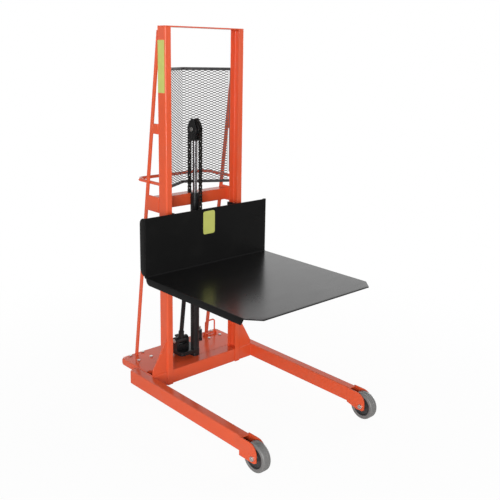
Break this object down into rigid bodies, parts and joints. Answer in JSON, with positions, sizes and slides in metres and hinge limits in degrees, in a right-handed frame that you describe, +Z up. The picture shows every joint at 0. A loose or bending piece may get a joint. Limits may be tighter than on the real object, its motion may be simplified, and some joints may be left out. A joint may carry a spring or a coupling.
{
  "type": "platform stacker",
  "caption": "Manual hydraulic platform stacker: straddle legs on wheels, channel mast, chain-lifted bent-sheet platform, mesh guard, push handle, hand pump and release pedal.",
  "frame": {"origin": "on the floor under the middle of the outline, half way between the two sides", "axes": "+Z up, the legs and the platform point to -Y, the operator stands at +Y, +X is the side of the release pedal"},
  "size_m": [0.76, 1.1254, 1.788],
  "materials": {
    "frame_paint": "gloss orange-red enamel",
    "platform_black": "satin black powder coat",
    "black_paint": "semi-gloss black",
    "chain_steel": "oiled dark steel",
    "bright_steel": "turned steel",
    "zinc_steel": "zinc plated",
    "mesh_steel": "grey expanded metal",
    "trim_black": "black edge trim",
    "chrome": "hard chrome",
    "wheel_grey": "grey solid rubber"
  },
  "bodies": {
    "frame": {"leg_left": "frame_paint", "leg_right": "frame_paint", "wheel_fork_plates": "frame_paint", "base_crossmember": "frame_paint", "base_plate": "frame_paint", "foot_gussets": "frame_paint", "mast_column_left": "frame_paint", "mast_column_right": "frame_paint", "top_tie": "frame_paint", "rear_braces": "frame_paint", "brace_ties": "frame_paint", "mid_crossmember": "frame_paint", "push_handle": "frame_paint", "pedal_lugs": "frame_paint", "front_axles": "zinc_steel", "guard_bolts": "zinc_steel", "caster_bolts": "zinc_steel", "guard_mesh_left": "mesh_steel", "guard_mesh_right": "mesh_steel", "guard_trim_top": "trim_black", "guard_trim_bottom": "trim_black", "cylinder_barrel": "black_paint", "cylinder_gland": "black_paint", "pump_body": "black_paint", "release_valve_body": "zinc_steel", "rocker_pin": "zinc_steel", "chain_anchor_rear": "black_paint", "caster_plates": "zinc_steel", "chain_rear": "chain_steel"},
    "ram": {"ram_rod": "chrome", "ram_piston": "bright_steel", "chain_yoke": "black_paint", "sheave_pin": "bright_steel", "chain_wrap": "chain_steel", "chain_front": "chain_steel"},
    "sheave": {"chain_sheave": "bright_steel"},
    "platform": {"platform": "platform_black", "carriage_sides": "platform_black", "deck_arms": "platform_black", "carriage_bars": "platform_black", "chain_bar": "platform_black", "roller_axles": "bright_steel"},
    "roller_lower_left": {"roller_lower_left": "bright_steel"},
    "roller_lower_right": {"roller_lower_right": "bright_steel"},
    "roller_upper_left": {"roller_upper_left": "bright_steel"},
    "roller_upper_right": {"roller_upper_right": "bright_steel"},
    "front_wheel_left": {"front_wheel_left": "wheel_grey"},
    "front_wheel_right": {"front_wheel_right": "wheel_grey"},
    "caster_left": {"caster_fork_left": "zinc_steel", "caster_axle_left": "zinc_steel"},
    "caster_right": {"caster_fork_right": "zinc_steel", "caster_axle_right": "zinc_steel"},
    "caster_wheel_left": {"caster_wheel_left": "wheel_grey"},
    "caster_wheel_right": {"caster_wheel_right": "wheel_grey"},
    "pump_lever": {"pump_rocker": "black_paint", "pump_lever": "black_paint"},
    "pump_plunger": {"pump_plunger": "chrome"},
    "release_pedal": {"release_pedal": "frame_paint"},
    "release_stem": {"release_stem": "bright_steel"}
  },
  "joints": [
    {"name": "ram_lift", "type": "slide", "parent": "frame", "child": "ram", "axis": [0, 0, 1], "range_m": [-0.256, 0.405], "deforming": ["chain_rear"]},
    {"name": "platform_lift", "type": "slide", "parent": "ram", "child": "platform", "axis": [0, 0, 1], "range_m": [-0.256, 0.405], "deforming": ["chain_front"]},
    {"name": "sheave_spin", "type": "hinge", "parent": "ram", "child": "sheave", "pos_m": [0, 0.35275, 1.306], "axis": [1, 0, 0], "range_deg": [-530, 336]},
    {"name": "roller_lower_left_spin", "type": "hinge", "parent": "platform", "child": "roller_lower_left", "pos_m": [-0.217, 0.29725, 0.69], "axis": [1, 0, 0], "range_deg": [-1715, 1085]},
    {"name": "roller_upper_left_spin", "type": "hinge", "parent": "platform", "child": "roller_upper_left", "pos_m": [-0.217, 0.29725, 0.895], "axis": [1, 0, 0], "range_deg": [-1085, 1715]},
    {"name": "roller_lower_right_spin", "type": "hinge", "parent": "platform", "child": "roller_lower_right", "pos_m": [0.217, 0.29725, 0.69], "axis": [1, 0, 0], "range_deg": [-1715, 1085]},
    {"name": "roller_upper_right_spin", "type": "hinge", "parent": "platform", "child": "roller_upper_right", "pos_m": [0.217, 0.29725, 0.895], "axis": [1, 0, 0], "range_deg": [-1085, 1715]},
    {"name": "front_wheel_left_spin", "type": "hinge", "parent": "frame", "child": "front_wheel_left", "pos_m": [-0.3415, -0.49925, 0.0635], "axis": [1, 0, 0], "continuous": true},
    {"name": "front_wheel_right_spin", "type": "hinge", "parent": "frame", "child": "front_wheel_right", "pos_m": [0.3415, -0.49925, 0.0635], "axis": [1, 0, 0], "continuous": true},
    {"name": "caster_left_swivel", "type": "hinge", "parent": "frame", "child": "caster_left", "pos_m": [-0.231, 0.51075, 0.11], "axis": [0, 0, 1], "continuous": true},
    {"name": "caster_wheel_left_spin", "type": "hinge", "parent": "caster_left", "child": "caster_wheel_left", "pos_m": [-0.231, 0.48075, 0.05], "axis": [1, 0, 0], "continuous": true},
    {"name": "caster_right_swivel", "type": "hinge", "parent": "frame", "child": "caster_right", "pos_m": [0.231, 0.51075, 0.11], "axis": [0, 0, 1], "continuous": true},
    {"name": "caster_wheel_right_spin", "type": "hinge", "parent": "caster_right", "child": "caster_wheel_right", "pos_m": [0.231, 0.48075, 0.05], "axis": [1, 0, 0], "continuous": true},
    {"name": "pump_lever_swing", "type": "hinge", "parent": "frame", "child": "pump_lever", "pos_m": [-0.068, 0.38975, 0.216], "axis": [1, 0, 0], "range_deg": [-40, 0]},
    {"name": "pump_plunger_slide", "type": "slide", "parent": "frame", "child": "pump_plunger", "axis": [0, 0, 1], "range_m": [-0.0256, 0]},
    {"name": "release_pedal_tilt", "type": "hinge", "parent": "frame", "child": "release_pedal", "pos_m": [0.232, 0.51475, 0.1375], "axis": [1, 0, 0], "range_deg": [0, 20], "stiffness_Nm_per_rad": 2, "springref_deg": -5.73},
    {"name": "release_stem_slide", "type": "slide", "parent": "frame", "child": "release_stem", "axis": [0, 0, 1], "range_m": [-0.0051, 0]}
  ],
  "couplings": [
    {"joint": "platform_lift", "follows": "ram_lift", "ratio": 1},
    {"joint": "sheave_spin", "follows": "ram_lift", "rad_per_m": -22.727},
    {"joint": "roller_lower_left_spin", "follows": "ram_lift", "rad_per_m": -73.801},
    {"joint": "roller_upper_left_spin", "follows": "ram_lift", "rad_per_m": 73.801},
    {"joint": "roller_lower_right_spin", "follows": "ram_lift", "rad_per_m": -73.801},
    {"joint": "roller_upper_right_spin", "follows": "ram_lift", "rad_per_m": 73.801},
    {"joint": "pump_plunger_slide", "follows": "pump_lever_swing", "m_per_rad": 0.0361},
    {"joint": "release_stem_slide", "follows": "release_pedal_tilt", "m_per_rad": -0.0143}
  ]
}
